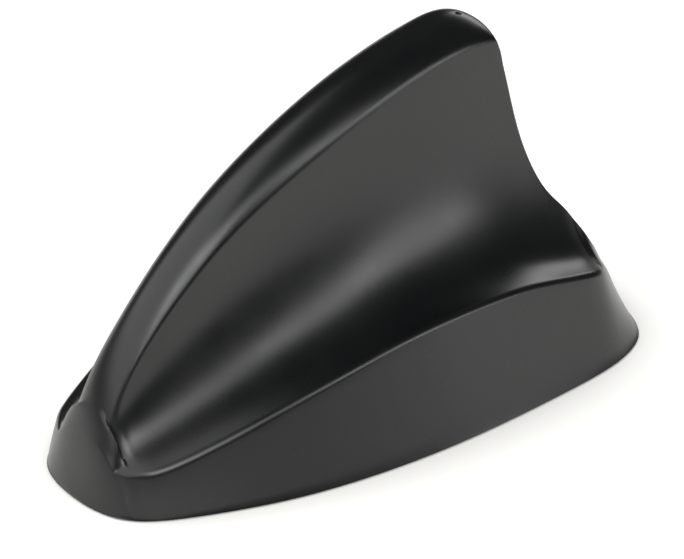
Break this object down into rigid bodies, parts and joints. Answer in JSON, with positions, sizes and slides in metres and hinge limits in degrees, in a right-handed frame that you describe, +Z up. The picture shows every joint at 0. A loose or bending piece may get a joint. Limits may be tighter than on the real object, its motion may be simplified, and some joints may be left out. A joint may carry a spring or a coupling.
{
  "type": "shark fin aerial",
  "caption": "Car roof aerial: a hollow fin-shaped cover with a creased spine and hollow flanks over a sealed base plate that carries the antennas and the fixing thread.",
  "frame": {"origin": "centre of the footprint on the car roof, at the underside of the gasket", "axes": "+X towards the tail of the fin, +Y across to the car's right, +Z up from the roof"},
  "size_m": [0.1136, 0.0588, 0.061],
  "materials": {
    "satin_plastic": "satin fine-grained moulding",
    "soft_rubber": "matt moulded rubber",
    "die_cast": "as-cast, blasted",
    "zinc_steel": "zinc plated",
    "board_laminate": "solder resist",
    "tape": "adhesive tape",
    "patch_ceramic": "fired, unglazed",
    "silver_plate": "silver plated",
    "tinned_steel": "tinned sheet",
    "chip_resin": "moulded resin",
    "gold_brass": "gold flashed",
    "chip_parts": "fired, tinned ends",
    "carrier_plastic": "natural moulding",
    "copper_wire": "enamelled copper",
    "foam": "closed-cell foam"
  },
  "bodies": {
    "root": {"fin_cover": "satin_plastic", "roof_gasket": "soft_rubber", "base_plate": "die_cast", "cover_seal": "soft_rubber", "cover_screws": "zinc_steel", "cable_grommet": "soft_rubber", "main_board": "board_laminate", "board_screws": "zinc_steel", "coax_sockets": "gold_brass", "patch_pad": "tape", "patch_antenna": "patch_ceramic", "patch_electrode": "silver_plate", "patch_pin": "tinned_steel", "lna_chip": "chip_resin", "lna_shield": "tinned_steel", "radio_chip": "chip_resin", "radio_shield": "tinned_steel", "smd_parts": "chip_parts", "mast_carrier": "carrier_plastic", "radiator_plate": "tinned_steel", "loading_coil": "copper_wire", "phone_element": "tinned_steel", "top_foam": "foam"}
  },
  "joints": []
}
